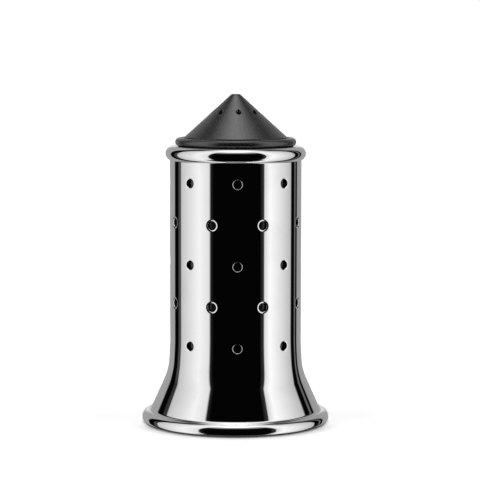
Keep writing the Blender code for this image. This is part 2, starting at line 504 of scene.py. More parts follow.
def painted(name: str, surface: Callable[[Graph], Wire]) -> bpy.types.Material:
    """A new material.

    Args:
        name: The material's name.
        surface: Draws its nodes on an empty graph and gives the finished shader.

    Returns:
        The material.
    """
    material = bpy.data.materials.new(name)
    material.use_nodes = True
    graph = Graph(material.node_tree)
    graph.add("ShaderNodeOutputMaterial", {}, {"Surface": surface(graph)})
    return material


class Finish:
    """A material of the shaker; each kind of finish draws its own nodes."""

    slot: Slot

    def material(self) -> bpy.types.Material:
        """The finish's material, named after its slot."""
        return painted(self.slot.value, self.surface)

    def surface(self, graph: Graph) -> Wire:
        """Draws the finish.

        Args:
            graph: The material's empty graph.

        Returns:
            The Principled shader.
        """
        raise NotImplementedError


@dataclass(frozen=True)
class PolishedSteel(Finish):
    """Mirror-polished steel with faint polishing lines round the axis and a few dull smears."""

    slot: Slot = Slot.STEEL
    colour: Colour = (0.78, 0.772, 0.776, 1.0)
    smear_colour: Colour = (0.74, 0.732, 0.736, 1.0)
    polish: float = 0.022
    lines: Clouds = Clouds(120.0, detail=3.0, roughness=0.6, low=0.35, high=0.75)
    line_stretch: tuple[float, float, float] = (1.0, 1.0, 60.0)
    line_dullness: float = 0.022
    smears: Clouds = Clouds(85.0, detail=3.0, roughness=0.55, low=0.48, high=0.72)
    smear_dullness: float = 0.018

    def surface(self, graph: Graph) -> Wire:
        """Draws the finish.

        Args:
            graph: The material's empty graph.

        Returns:
            The Principled shader.
        """
        lines = self.lines.at(graph, graph.stretched(self.line_stretch))
        smears = self.smears.at(graph, graph.place())
        return graph.principled(
            {
                "Base Color": graph.blend(smears, self.colour, self.smear_colour),
                "Metallic": 1.0,
                "Roughness": self.polish + lines * self.line_dullness + smears * self.smear_dullness,
            }
        )


@dataclass(frozen=True)
class MattPlastic(Finish):
    """Black plastic moulded in an eroded tool, with a fine even grain that scatters the light."""

    slot: Slot = Slot.MATT_BLACK
    colour: Colour = (0.013, 0.0127, 0.0127, 1.0)
    worn_colour: Colour = (0.049, 0.0480, 0.0480, 1.0)
    roughness: float = 0.20
    shine: float = 1.0
    grain: Clouds = Clouds(4600.0, roughness=0.6)
    grain_strength: float = 0.45
    grain_height: float = 0.00006
    grain_dullness: float = 0.12
    specks: Clouds = Clouds(2100.0, detail=1.0, low=0.56, high=0.70)
    speck_height: float = 0.4
    speck_wear: float = 0.5
    clouds: Clouds = Clouds(160.0)
    cloud_wear: float = 0.3

    def surface(self, graph: Graph) -> Wire:
        """Draws the finish.

        Args:
            graph: The material's empty graph.

        Returns:
            The Principled shader.
        """
        place = graph.place()
        grain = self.grain.at(graph, place)
        specks = self.specks.at(graph, place)
        clouds = self.clouds.at(graph, place)
        height = grain + specks * self.speck_height
        wear = specks * self.speck_wear + clouds * self.cloud_wear
        return graph.principled(
            {
                "Base Color": graph.blend(wear, self.colour, self.worn_colour),
                "Roughness": self.roughness + grain * self.grain_dullness,
                "Specular IOR Level": self.shine,
                "Normal": graph.bump(height, self.grain_strength, self.grain_height),
            }
        )


@dataclass(frozen=True)
class GlossPlastic(Finish):
    """Glossy black moulded plastic with a faint orange-peel surface and a little dust."""

    slot: Slot = Slot.GLOSS_BLACK
    colour: Colour = (0.008, 0.008, 0.009, 1.0)
    dusty_colour: Colour = (0.012, 0.012, 0.013, 1.0)
    roughness: float = 0.09
    dust: Clouds = Clouds(240.0, low=0.4, high=0.7)
    dust_dullness: float = 0.05
    peel: Clouds = Clouds(900.0, detail=1.0)
    peel_strength: float = 0.08
    peel_height: float = 0.00002

    def surface(self, graph: Graph) -> Wire:
        """Draws the finish.

        Args:
            graph: The material's empty graph.

        Returns:
            The Principled shader.
        """
        place = graph.place()
        dust = self.dust.at(graph, place)
        peel = self.peel.at(graph, place)
        return graph.principled(
            {
                "Base Color": graph.blend(dust, self.colour, self.dusty_colour),
                "Roughness": self.roughness + dust * self.dust_dullness,
                "Normal": graph.bump(peel, self.peel_strength, self.peel_height),
            }
        )


@dataclass(frozen=True)
class Rubber(Finish):
    """Dull black rubber with a fine, slightly dusty grain."""

    slot: Slot = Slot.RUBBER
    colour: Colour = (0.018, 0.018, 0.018, 1.0)
    dusty_colour: Colour = (0.034, 0.033, 0.032, 1.0)
    roughness: float = 0.82
    dust: Clouds = Clouds(420.0, detail=3.0, roughness=0.6, low=0.45, high=0.75)
    grain: Clouds = Clouds(5200.0)
    grain_strength: float = 0.35
    grain_height: float = 0.00005
    grain_dullness: float = 0.1

    def surface(self, graph: Graph) -> Wire:
        """Draws the finish.

        Args:
            graph: The material's empty graph.

        Returns:
            The Principled shader.
        """
        place = graph.place()
        grain = self.grain.at(graph, place)
        dust = self.dust.at(graph, place)
        return graph.principled(
            {
                "Base Color": graph.blend(dust, self.colour, self.dusty_colour),
                "Roughness": self.roughness + grain * self.grain_dullness,
                "Normal": graph.bump(grain, self.grain_strength, self.grain_height),
            }
        )


@dataclass
class Wardrobe:
    """The shaker's materials, one to a slot."""

    finishes: tuple[Finish, ...] = (PolishedSteel(), MattPlastic(), GlossPlastic(), Rubber())
    materials: dict[Slot, bpy.types.Material] = field(init=False)

    def __post_init__(self) -> None:
        """Makes each finish's material."""
        self.materials = {finish.slot: finish.material() for finish in self.finishes}

    def dress(self, piece: Piece, slot: Slot, body: Body, *nodes: str) -> None:
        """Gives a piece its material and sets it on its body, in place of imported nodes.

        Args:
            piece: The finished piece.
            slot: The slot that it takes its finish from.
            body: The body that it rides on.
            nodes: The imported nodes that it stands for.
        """
        piece.data.materials.clear()
        piece.data.materials.append(self.materials[slot])
        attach(piece, body.value)
        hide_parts(*nodes)
        LOG.info("%s: %d faces, %s", piece.name, len(piece.data.polygons), slot.value)


@dataclass
class SteelBody:
    """The pierced and flared steel shell, the round ring on its rim and the band round its foot."""

    tube_radius: float = 0.02103
    wall: float = 0.0005
    flare_angle: float = 24.1
    lead_angle: float = 4.5
    lead_radius: float = 0.105
    bend_radius: float = 0.018
    bend_start: float = 0.019941
    toe_radius: float = 0.0010
    toe_lap: float = 0.0002

    rows: int = 5
    columns: int = 8
    top_row: float = 0.077905
    row_pitch: float = 0.0128536
    hole_radius: float = 0.00140
    lip_width: float = 0.00062
    lip_depth: float = 0.00028
    lip_steps: int = 8
    hole_turn: float = 1.7

    body_height: float = 0.08898
    rim_round: float = 0.00242
    rim_overhang: float = 0.0014
    rim_bore: float = 0.0186
    spigot_length: float = 0.0025
    seat_gap: float = 0.0003
    collar_gap: float = 0.00001

    foot_radius: float = 0.030
    foot_round: float = 0.0022
    foot_equator: float = 0.0018
    foot_bottom: float = 0.00008
    foot_edge: float = 0.0014
    foot_bore: float = 0.0252
    foot_ledge: float = 0.0023

    across: int = 16
    up: int = 12
    tile_rings: int = 6
    sides: int = 192
    sharp_angle: float = 40.0
    face_tolerance: float = 0.000005

    @property
    def tile_width(self) -> float:
        """Length round the tube from one hole to the next."""
        return math.tau * self.tube_radius / self.columns

    @property
    def rim_centre(self) -> Point:
        """Centre of the rim ring's round."""
        inset = self.rim_round - self.rim_overhang
        return self.tube_radius - inset, self.body_height - self.rim_round

    @property
    def rim_seat(self) -> float:
        """Height at which the rim ring meets the tube."""
        inset = self.rim_round - self.rim_overhang
        return self.rim_centre[1] - math.sqrt(self.rim_round**2 - inset**2)

    @property
    def lead_start(self) -> float:
        """Height at which the tube starts to widen."""
        return self.bend_start + self.lead_radius * math.sin(math.radians(self.lead_angle))

    @property
    def flare_top(self) -> float:
        """Height at which the flare joins the pierced tube."""
        return self.top_row - (self.rows - 0.5) * self.row_pitch

    @property
    def foot_centre(self) -> Point:
        """Centre of the foot band's upper round."""
        return self.foot_radius - self.foot_round, self.foot_equator

    @property
    def bend_centre(self) -> Point:
        """Works out the bend between the flare's lead-in and its straight stretch.

        Returns:
            The bend's centre.
        """
        lead = math.radians(self.lead_angle)
        lead_out = self.lead_radius * (1 - math.cos(lead))
        return (
            self.tube_radius + lead_out + self.bend_radius * math.cos(lead),
            self.bend_start + self.bend_radius * math.sin(lead),
        )

    @property
    def toe_angle(self) -> float:
        """Works out how the flare's toe runs into the foot band.

        Returns:
            The slope there, in degrees.
        """
        full = math.radians(self.flare_angle)
        across = (self.bend_centre[0] - self.foot_centre[0]) * math.cos(full)
        up = (self.bend_centre[1] - self.foot_centre[1]) * math.sin(full)
        reach = self.toe_radius + across + up - self.bend_radius
        reach /= self.toe_radius + self.foot_round
        return self.flare_angle + math.degrees(math.acos(reach))

    @property
    def toe_centre(self) -> Point:
        """Centre of the hollow round between the flare and the foot band."""
        return on_circle(self.foot_centre, self.foot_round + self.toe_radius, self.toe_angle)

    def widening(self, height: float) -> float:
        """How far the lead-in of the flare stands out from the tube.

        Args:
            height: A height on the tube.

        Returns:
            The distance outwards.
        """
        drop = max(0.0, self.lead_start - height)
        return self.lead_radius - math.sqrt(self.lead_radius**2 - drop**2)

    def tile(self) -> Piece:
        """One tile of the pierced wall, laid flat and facing the front, with a rolled-in hole in it.

        Returns:
            The tile, with its hole's centre at the origin.
        """
        half_width = 0.5 * self.tile_width
        half_height = 0.5 * self.row_pitch
        lip_radius = self.hole_radius + self.lip_width
        standing = (math.radians(90), 0, 0)

        def on_edge(place: Vector) -> bool:
            """Whether a point lies on the tile's outer edge."""
            from_edge = abs(abs(place.x) - half_width), abs(abs(place.z) - half_height)
            return min(from_edge) < Bench.TOUCH

        Bench.clear()
        bpy.ops.mesh.primitive_grid_add(x_subdivisions=self.across, y_subdivisions=self.up, size=1)
        tile = Bench.name(bpy.context.object, "pierced_tile")
        tile.scale = (self.tile_width, self.row_pitch, 1)
        tile.rotation_euler = standing
        Bench.settle(tile)
        with Bench.editing(tile):
            Bench.pick(tile, lambda place: not on_edge(place))
            bpy.ops.mesh.delete(type="VERT")
        count = 2 * (self.across + self.up)
        Bench.clear()
        bpy.ops.mesh.primitive_circle_add(vertices=count, radius=lip_radius, rotation=standing)
        hole = bpy.context.object
        Bench.settle(hole)
        Bench.join(tile, hole)

        def round_hole(place: Vector) -> bool:
            """Whether a point lies on the hole's edge."""
            return math.hypot(place.x, place.z) < lip_radius + Bench.TOUCH

        with Bench.editing(tile):
            bpy.ops.mesh.select_all(action="SELECT")
            bpy.ops.mesh.bridge_edge_loops(number_cuts=self.tile_rings, interpolation="LINEAR")
            bpy.ops.mesh.select_all(action="SELECT")
            bpy.ops.mesh.duplicate_move(TRANSFORM_OT_translate={"value": (0, self.wall, 0)})
            Bench.pick(tile, lambda place: place.y > 0.5 * self.wall and round_hole(place))
            growth = self.hole_radius / lip_radius
            bpy.ops.transform.resize(value=(growth, 1, growth), center_override=(0, self.wall, 0))
            Bench.pick(tile, lambda place: place.y < 0.5 * self.wall and round_hole(place))
            depth, radius = 0.0, lip_radius
            for step in range(1, self.lip_steps + 1):
                angle = math.radians(90 * step / self.lip_steps)
                next_depth = self.lip_depth * (1 - math.cos(angle))
                next_radius = lip_radius - self.lip_width * math.sin(angle)
                self.sink(next_depth - depth, next_radius / radius)
                depth, radius = next_depth, next_radius
            self.sink(self.wall - depth, 1.0)
            bpy.ops.mesh.select_all(action="SELECT")
            bpy.ops.mesh.remove_doubles(threshold=Bench.TOUCH)
        return tile

    @staticmethod
    def sink(depth: float, growth: float) -> None:
        """Extrudes the selected ring backwards and resizes it about the hole's centre.

        Args:
            depth: How far back.
            growth: The factor on its radius.
        """
        bpy.ops.mesh.extrude_region_move(TRANSFORM_OT_translate={"value": (0, depth, 0)})
        bpy.ops.transform.resize(value=(growth, 1, growth), center_override=(0, 0, 0))

    def pierced_sheet(self) -> Piece:
        """The pierced wall as a flat sheet: rows of tiles, alternate rows shifted by half a tile.

        Returns:
            The sheet, with a hole of its top row at the middle.
        """
        tile = self.tile()
        row = tile.modifiers.new("row", "ARRAY")
        row.count = self.columns
        row.use_relative_offset = False
        row.use_constant_offset = True
        row.constant_offset_displace = (self.tile_width, 0, 0)
        Bench.apply(tile, row)
        start = -0.5 * self.columns * self.tile_width
        tile.location = (start, 0, self.top_row)
        Bench.settle(tile)
        copies = []
        for number in range(1, self.rows):
            Bench.take(tile)
            shift = 0.5 * self.tile_width * (number % 2)
            move = {"value": (shift, 0, -number * self.row_pitch)}
            bpy.ops.object.duplicate_move(TRANSFORM_OT_translate=move)
            copies.append(bpy.context.object)
        return Bench.join(tile, *copies)

    def rolled(self, sheet: Piece) -> Piece:
        """Rolls the pierced sheet into a tube and eases its lower end outwards.

        Args:
            sheet: The flat sheet.

        Returns:
            The tube.
        """
        reach = [point.co.x for point in sheet.data.vertices]
        roll = sheet.modifiers.new("roll", "SIMPLE_DEFORM")
        roll.deform_method = "BEND"
        roll.deform_axis = "Z"
        roll.angle = (max(reach) - min(reach)) / self.tube_radius
        Bench.apply(sheet, roll)
        sheet.location = (0, -self.tube_radius, 0)
        Bench.settle(sheet)
        sheet.rotation_euler = (0, 0, math.radians(self.hole_turn))
        Bench.settle(sheet)
        for point in sheet.data.vertices:
            radius = math.hypot(point.co.x, point.co.y)
            growth = 1 + self.widening(point.co.z) / radius
            point.co.x *= growth
            point.co.y *= growth
        return sheet

    def flare_outline(self, inset: float) -> list[Point]:
        """Outline of the flare, from the pierced tube's lower end down to the foot.

        Args:
            inset: Distance inside the shell's outer face.

        Returns:
            The points, top to bottom: lead-in, bend, straight stretch and hollow toe.
        """
        top = self.flare_top
        lead_centre = (self.tube_radius + self.lead_radius, self.lead_start)
        begin = math.degrees(math.asin((self.lead_start - top) / self.lead_radius))
        lead, full, last = (180 + a for a in (self.lead_angle, self.flare_angle, self.toe_angle))
        points = arc(lead_centre, self.lead_radius + inset, 180 + begin, lead, steps=2)
        points[0] = (self.tube_radius + self.widening(top) - inset, top)
        points += arc(self.bend_centre, self.bend_radius + inset, lead, full, steps=20)[1:]
        toe = arc(self.toe_centre, self.toe_radius + inset, full, last, steps=32)
        return points + run(points[-1], toe[0], steps=10) + toe[1:]

    def shell(self) -> Piece:
        """The whole shell: pierced tube, plain upper end and flare.

        Returns:
            The finished shell.
        """
        tube = self.rolled(self.pierced_sheet())
        inner = self.tube_radius - self.wall
        around = self.across * self.columns
        top = self.top_row + 0.5 * self.row_pitch
        end = self.rim_seat - self.collar_gap
        outline = [(self.tube_radius, top), (self.tube_radius, end), (inner, end), (inner, top)]
        collar = Bench.turn("shell_end", outline, around)
        outline = self.flare_outline(0.0) + self.flare_outline(self.wall)[::-1]
        flare = Bench.turn("shell_flare", outline, around)
        for part in (collar, flare):
            part.rotation_euler = (0, 0, math.radians(self.hole_turn))
        Bench.settle(collar, flare)
        shell = Bench.name(Bench.join(tube, collar, flare), "steel_shell")
        Bench.finish(shell, self.sharp_angle)
        normals = [self.true_normal(point.co) for point in shell.data.vertices]
        shell.data.normals_split_custom_set_from_vertices(normals)
        return shell

    def true_normal(self, place: Vector) -> Vector:
        """Direction straight out of the tube, so that it mirrors evenly between the holes.

        Args:
            place: A point of the shell.

        Returns:
            The direction, or a zero vector for a point that isn't on the tube's outer face.
        """
        radius = math.hypot(place.x, place.y)
        below = self.flare_top - place.z
        inside = abs(radius - self.tube_radius - self.widening(place.z))
        if max(below, inside) > self.face_tolerance:
            return Vector((0, 0, 0))
        rise = max(0.0, self.lead_start - place.z) / self.lead_radius
        level = math.sqrt(1 - rise**2) / radius
        return Vector((place.x * level, place.y * level, rise))

    def rim_ring(self) -> Piece:
        """The round ring on the tube's end, with the spigot inside the tube.

        Returns:
            The finished ring.
        """
        centre = self.rim_centre
        low = -math.degrees(math.acos((self.rim_round - self.rim_overhang) / self.rim_round))
        high = math.degrees(math.acos((self.rim_bore - centre[0]) / self.rim_round))
        spigot = self.tube_radius - self.wall - self.seat_gap
        spigot_end = self.rim_seat - self.spigot_length
        outline = arc(centre, self.rim_round, high, low, steps=64)
        outline += [(spigot, self.rim_seat), (spigot, spigot_end), (self.rim_bore, spigot_end)]
        return Bench.turned("steel_rim_ring", outline, self.sides)

    def foot_band(self) -> Piece:
        """The round band at the foot, with the ledge that the shell stands on.

        Returns:
            The finished band.
        """
        wall = self.flare_outline(0.0)[-1][0] - self.toe_lap
        inward = math.degrees(math.acos((wall - self.foot_centre[0]) / self.foot_round))
        outline = [(self.foot_bore, self.foot_ledge), (wall, self.foot_ledge)]
        outline += arc(self.foot_centre, self.foot_round, inward, 0, steps=48)
        under = (self.foot_radius - self.foot_edge, self.foot_bottom + self.foot_edge)
        outline += run(outline[-1], (self.foot_radius, under[1]), steps=6)
        outline += arc(under, self.foot_edge, 0, -90, steps=24)
        outline += [(self.foot_bore, self.foot_bottom)]
        return Bench.turned("steel_foot_band", outline, self.sides)

    def build(self, wardrobe: Wardrobe) -> None:
        """Builds and dresses the steel pieces.

        Args:
            wardrobe: The materials.
        """
        wardrobe.dress(self.shell(), Slot.STEEL, Body.SHAKER, "body_shell")
        wardrobe.dress(self.rim_ring(), Slot.STEEL, Body.SHAKER, "rim_ring")
        wardrobe.dress(self.foot_band(), Slot.STEEL, Body.SHAKER, "base_ring")


@dataclass
class Thread:
    """The screw thread between the container's neck and the cap's skirt."""

    pitch: float = 0.0030
    depth: float = 0.0009
    root_width: float = 0.0015
    crest_width: float = 0.0007
    sink: float = 0.0003
    start: float = 0.08304
    end: float = 0.08663
    steps: int = 96

    def ridge(self, name: str, wall: float, inward: bool, first_turn: float) -> Piece:
        """A right-hand ridge on a round wall, swept from its cross-section by a screw.

        Args:
            name: The piece's name.
            wall: The wall's radius.
            inward: Whether the ridge stands inwards from the wall.
            first_turn: Where it starts, in turns from +X.

        Returns:
            The closed ridge, sunk a little into its wall.
        """
        side = -1.0 if inward else 1.0
        root, crest = wall - side * self.sink, wall + side * self.depth
        slope = (self.root_width - self.crest_width) / self.depth
        root_half = 0.5 * (self.root_width + slope * self.sink)
        crest_half = 0.5 * self.crest_width
        Bench.clear()
        bpy.ops.mesh.primitive_plane_add(size=1, rotation=(math.radians(90), 0, 0))
        piece = Bench.name(bpy.context.object, name)
        piece.scale = (abs(crest - root), root_half * 2, 1)
        piece.location = (0.5 * (root + crest), 0, self.start)
        Bench.settle(piece)
        with Bench.editing(piece):
            Bench.pick(piece, lambda place: abs(place.x - crest) < Bench.TOUCH)
            narrow = crest_half / root_half
            bpy.ops.transform.resize(value=(1, 1, narrow), center_override=(crest, 0, self.start))
            bpy.ops.mesh.select_all(action="SELECT")
            bpy.ops.mesh.delete(type="ONLY_FACE")
        turns = (self.end - self.start) / self.pitch
        sweep = piece.modifiers.new("sweep", "SCREW")
        sweep.angle = math.tau * turns
        sweep.screw_offset = self.pitch * turns
        sweep.steps = int(self.steps * turns)
        sweep.render_steps = sweep.steps
        sweep.use_merge_vertices = False
        Bench.apply(piece, sweep)
        with Bench.editing(piece):
            bpy.ops.mesh.select_all(action="SELECT")
            bpy.ops.mesh.fill_holes(sides=4)
        piece.rotation_euler = (0, 0, math.tau * first_turn)
        return Bench.finish(piece)


@dataclass
class Container:
    """The glossy black liner that holds the salt, with its threaded neck."""

    radius: float = 0.01993
    wall: float = 0.0013
    bottom: float = 0.0033
    floor: float = 0.0015
    floor_chamfer: float = 0.001
    shoulder: float = 0.081565
    neck_radius: float = 0.0183
    neck_bore: float = 0.0169
    neck_foot: float = 0.081565
    lip: float = 0.087637
    edge: float = 0.0003
    sides: int = 128
    thread: Thread = field(default_factory=Thread)

    def liner(self) -> Piece:
        """The liner, rounded at its bottom edge, its shoulder and the neck's lip.

        Returns:
            The finished liner with its thread.
        """
        bore = self.radius - self.wall
        edge = self.edge
        ease = 2 * edge
        inside = self.bottom + self.floor
        outline = [(0.0, self.bottom), (0.5 * self.radius, self.bottom)]
        outline += arc((self.radius - ease, self.bottom + ease), ease, -90, 0, steps=8)
        outline += run((self.radius, self.bottom + ease), (self.radius, self.shoulder - edge), steps=24)
        outline += arc((self.radius - edge, self.shoulder - edge), edge, 0, 90, steps=6)[1:]
        outline += [(self.neck_radius, self.shoulder)]
        outline += arc((self.neck_radius - edge, self.lip - edge), edge, 0, 90, steps=6)
        outline += arc((self.neck_bore + edge, self.lip - edge), edge, 90, 180, steps=6)
        outline += [
            (self.neck_bore, self.neck_foot),
            (bore, self.neck_foot - (bore - self.neck_bore)),
            (bore, inside + self.floor_chamfer),
            (bore - self.floor_chamfer, inside),
            (0.0, inside),
        ]
        liner = Bench.turned("black_liner", outline, self.sides)
        ridge = self.thread.ridge("liner_thread", self.neck_bore, inward=True, first_turn=0.5)
        return Bench.join(liner, ridge)

    def build(self, wardrobe: Wardrobe) -> None:
        """Builds the liner and dresses it with the wardrobe's materials."""
        wardrobe.dress(self.liner(), Slot.GLOSS_BLACK, Body.SHAKER, "salt_container")


@dataclass
class Cap:
    """The matt black cone with its bead, pour holes and threaded skirt, and the soft ring under it."""

    seat: float = 0.0888375
    bead_round: float = 0.00133
    bead_radius: float = 0.01802
    half_angle: float = 47.8
    tip_radius: float = 0.00135
    tip_edge: float = 0.0002
    tip_ease: Point = (0.25, 0.15)
    crease_angle: float = 135.0
    groove_width: float = 0.00022
    groove_depth: float = 0.0003
    wall: float = 0.0014
    skirt_radius: float = 0.0157
    skirt_bore: float = 0.0143
    skirt_length: float = 0.0068
    pour_holes: int = 8
    pour_radius: float = 0.0009
    pour_circle: float = 0.00735
    pour_turn: float = 7.0
    pour_sides: int = 28
    drill_margin: float = 0.001

    gasket_inner: float = 0.0160
    gasket_outer: float = 0.0183
    gasket_bottom: float = 0.0878375
    gasket_thickness: float = 0.0008
    gasket_edge: float = 0.00015

    sides: int = 160
    thread: Thread = field(default_factory=Thread)

    @property
    def bead_centre(self) -> Point:
        """Centre of the bead's round."""
        return self.bead_radius, self.seat + self.bead_round

    @property
    def crease(self) -> Point:
        """Where the cone meets the bead."""
        return on_circle(self.bead_centre, self.bead_round, self.crease_angle)

    @property
    def tip(self) -> float:
        """Height of the flat tip."""
        rise = (self.crease[0] - self.tip_radius) / math.tan(math.radians(self.half_angle))
        return self.crease[1] + rise

    def cone(self) -> Piece:
        """The cap turned from its outline, before its holes are drilled.

        Returns:
            The closed cap.
        """
        half_angle = math.radians(self.half_angle)
        slope = 1 / math.tan(half_angle)
        inset = self.wall / math.cos(half_angle)
        inner_foot = self.crease[1] + (self.crease[0] - inset - self.skirt_bore) * slope
        inner_head = inner_foot + (self.skirt_bore - self.tip_radius) * slope
        shoulder = (self.tip_radius + self.tip_edge, self.tip - self.tip_edge * slope)
        outline = [(0.0, self.tip), (self.tip_radius - self.tip_edge, self.tip)]
        ease_in, ease_down = (share * self.tip_edge for share in self.tip_ease)
        outline += [(self.tip_radius - ease_in, self.tip - ease_down), shoulder]
        lip_z = self.bead_centre[1] + self.bead_round + self.groove_width
        lip = (self.crease[0] - (lip_z - self.crease[1]) / slope, lip_z)
        groove = lip[0] - self.groove_depth
        outline += run(shoulder, lip, steps=26) + [(groove, lip_z), (groove, self.bead_centre[1])]
        outline += arc(self.bead_centre, self.bead_round, self.crease_angle, -90, steps=36)
        outline += [
            (self.skirt_radius, self.seat),
            (self.skirt_radius, self.seat - self.skirt_length),
            (self.skirt_bore, self.seat - self.skirt_length),
            (self.skirt_bore, inner_foot),
            (self.tip_radius, inner_head),
            (0.0, inner_head),
        ]
        return Bench.turned("black_cap", outline, self.sides)

    def drill(self) -> Piece:
        """The cutter for the pour holes: upright pins, evenly spaced round the axis.

        Returns:
            The pins as one piece.
        """
        low, high = self.crease[1] - self.drill_margin, self.tip + self.drill_margin
        middle = 0.5 * (low + high)
        pins = []
        for number in range(self.pour_holes):
            turn = math.radians(self.pour_turn + 360 * number / self.pour_holes)
            place = (self.pour_circle * math.sin(turn), -self.pour_circle * math.cos(turn), middle)
            Bench.clear()
            bpy.ops.mesh.primitive_cylinder_add(
                vertices=self.pour_sides, radius=self.pour_radius, depth=high - low, location=place
            )
            pins.append(bpy.context.object)
        return Bench.finish(Bench.join(*pins))

    def cap(self) -> Piece:
        """The drilled cap with its thread.

        Returns:
            The finished cap.
        """
        cone = self.cone()
        Bench.cut(cone, self.drill())
        Bench.finish(cone)
        ridge = self.thread.ridge("cap_thread", self.skirt_radius, inward=False, first_turn=0.0)
        return Bench.join(cone, ridge)

    def gasket(self) -> Piece:
        """The flat soft ring under the cap, with eased edges.

        Returns:
            The finished ring.
        """
        edge = self.gasket_edge
        inner, outer = self.gasket_inner + edge, self.gasket_outer - edge
        low, high = self.gasket_bottom + edge, self.gasket_bottom + self.gasket_thickness - edge
        corners = [(outer, low), (outer, high), (inner, high), (inner, low)]
        outline = []
        for number, corner in enumerate(corners):
            outline += arc(corner, edge, 90 * (number - 1), 90 * number, steps=5)
        return Bench.turned("cap_soft_ring", outline, self.sides)

    def build(self, wardrobe: Wardrobe) -> None:
        """Builds the cap and its soft ring and dresses them with the wardrobe's materials."""
        wardrobe.dress(self.cap(), Slot.MATT_BLACK, Body.CAP, "screw_cap")
        wardrobe.dress(self.gasket(), Slot.RUBBER, Body.GASKET, "cap_gasket")


@dataclass
class Base:
    """The plate that closes the foot, and the rubber ring that the shaker stands on."""

    plate_radius: float = 0.0249
    plate_bottom: float = 0.0006
    plate_top: float = 0.0030
    plate_edge: float = 0.0002
    foot_ledge: float = SteelBody.foot_ledge
    snap_reach: float = 0.0003
    collar_bore: float = 0.02023
    collar_wall: float = 0.0012
    collar_height: float = 0.0030
    groove_depth: float = 0.0010
    seat_gap: float = 0.0003
    dish_radius: float = 0.0165
    dish_depth: float = 0.0004
    dish_slope: float = 0.0008

    ring_outer: float = 0.0232
    ring_inner: float = 0.0208
    ring_top: float = 0.0013
    ring_edge: float = 0.00025

    sides: int = 160

    def plate(self) -> Piece:
        """The plate, with its collar, its snap bead, the ring's groove and a shallow dish below.

        Returns:
            The finished plate.
        """
        edge = self.plate_edge
        low = self.plate_bottom + edge
        middle = 0.5 * (self.plate_bottom + self.foot_ledge)
        collar_top = self.plate_top + self.collar_height
        collar_outer = self.collar_bore + self.collar_wall
        groove_outer = self.ring_outer + self.seat_gap
        groove_inner = self.ring_inner - self.seat_gap
        groove_top = self.plate_bottom + self.groove_depth
        dish_top = self.plate_bottom + self.dish_depth
        outline = [
            (0.0, self.plate_top),
            (self.collar_bore, self.plate_top),
            (self.collar_bore, collar_top),
            (collar_outer, collar_top),
            (collar_outer, self.plate_top),
            (self.plate_radius - edge, self.plate_top),
            (self.plate_radius, self.plate_top - edge),
            (self.plate_radius, middle + self.snap_reach),
            (self.plate_radius + self.snap_reach, middle),
            (self.plate_radius, middle - self.snap_reach),
        ]
        outline += arc((self.plate_radius - edge, low), edge, 0, -90, steps=5)
        outline += arc((groove_outer + edge, low), edge, -90, -180, steps=5)
        outline += [(groove_outer, groove_top), (groove_inner, groove_top)]
        outline += arc((groove_inner - edge, low), edge, 0, -90, steps=5)
        outline += [(self.dish_radius + self.dish_slope, self.plate_bottom)]
        outline += [(self.dish_radius, dish_top), (0.0, dish_top)]
        return Bench.turned("black_base_plate", outline, self.sides)

    def ring(self) -> Piece:
        """The rubber ring, rounded at its edges and flat where it stands.

        Returns:
            The finished ring.
        """
        edge = self.ring_edge
        outline = arc((self.ring_outer - edge, edge), edge, -90, 0, steps=6)
        outline += [(self.ring_outer, self.ring_top), (self.ring_inner, self.ring_top)]
        outline += arc((self.ring_inner + edge, edge), edge, 180, 270, steps=6)
        return Bench.turned("rubber_foot_ring", outline, self.sides)

    def build(self, wardrobe: Wardrobe) -> None:
        """Builds the plate and the ring and dresses them with the wardrobe's materials."""
        wardrobe.dress(self.plate(), Slot.MATT_BLACK, Body.SHAKER, "base_plate")
        wardrobe.dress(self.ring(), Slot.RUBBER, Body.SHAKER, "non_slip_ring")


@dataclass(frozen=True)
class LightCard:
    """A tall card of light that stands round the table; its brightness changes evenly along it."""

    start: float
    end: float
    start_light: float
    end_light: float
    start_soft: float = 2.0
    end_soft: float = 2.0
    bottom: float = NADIR
    ceiling: float = ZENITH
    level_soft: float = 6.0

    def light(self, azimuth: Wire, elevation: Wire) -> Wire:
        """Light that comes from the card.

        Args:
            azimuth: The direction round the axis, in degrees.
            elevation: The direction's height over the horizon, in degrees.

        Returns:
            Its brightness in that direction.
        """
        begun = azimuth.ramp(self.start - self.start_soft, self.start + self.start_soft)
        ended = azimuth.ramp(self.end + self.end_soft, self.end - self.end_soft)
        slope = (self.end_light - self.start_light) / (self.end - self.start)
        light = begun * ended * (azimuth * slope + (self.start_light - slope * self.start))
        soft = self.level_soft
        if self.ceiling < ZENITH:
            light = light * elevation.ramp(self.ceiling + soft, self.ceiling - soft)
        if self.bottom > NADIR:
            light = light * elevation.ramp(self.bottom - soft, self.bottom + soft)
        return light


@dataclass(frozen=True)
class SoftBox:
    """A soft light overhead; each fade says where its light ends and where it is full."""

    light: float
    side_fade: Point
    front_fade: Point
    back_fade: Point

    def glow(self, lean: Wire, pitch: Wire) -> Wire:
        """Light that comes from the box.

        Args:
            lean: The direction's angle sideways from straight up, in degrees.
            pitch: Its angle backwards from straight up, in degrees.

        Returns:
            Its brightness in that direction.
        """
        along = pitch.ramp(*self.front_fade) * pitch.ramp(*self.back_fade)
        return lean.ramp(*self.side_fade) * along * self.light


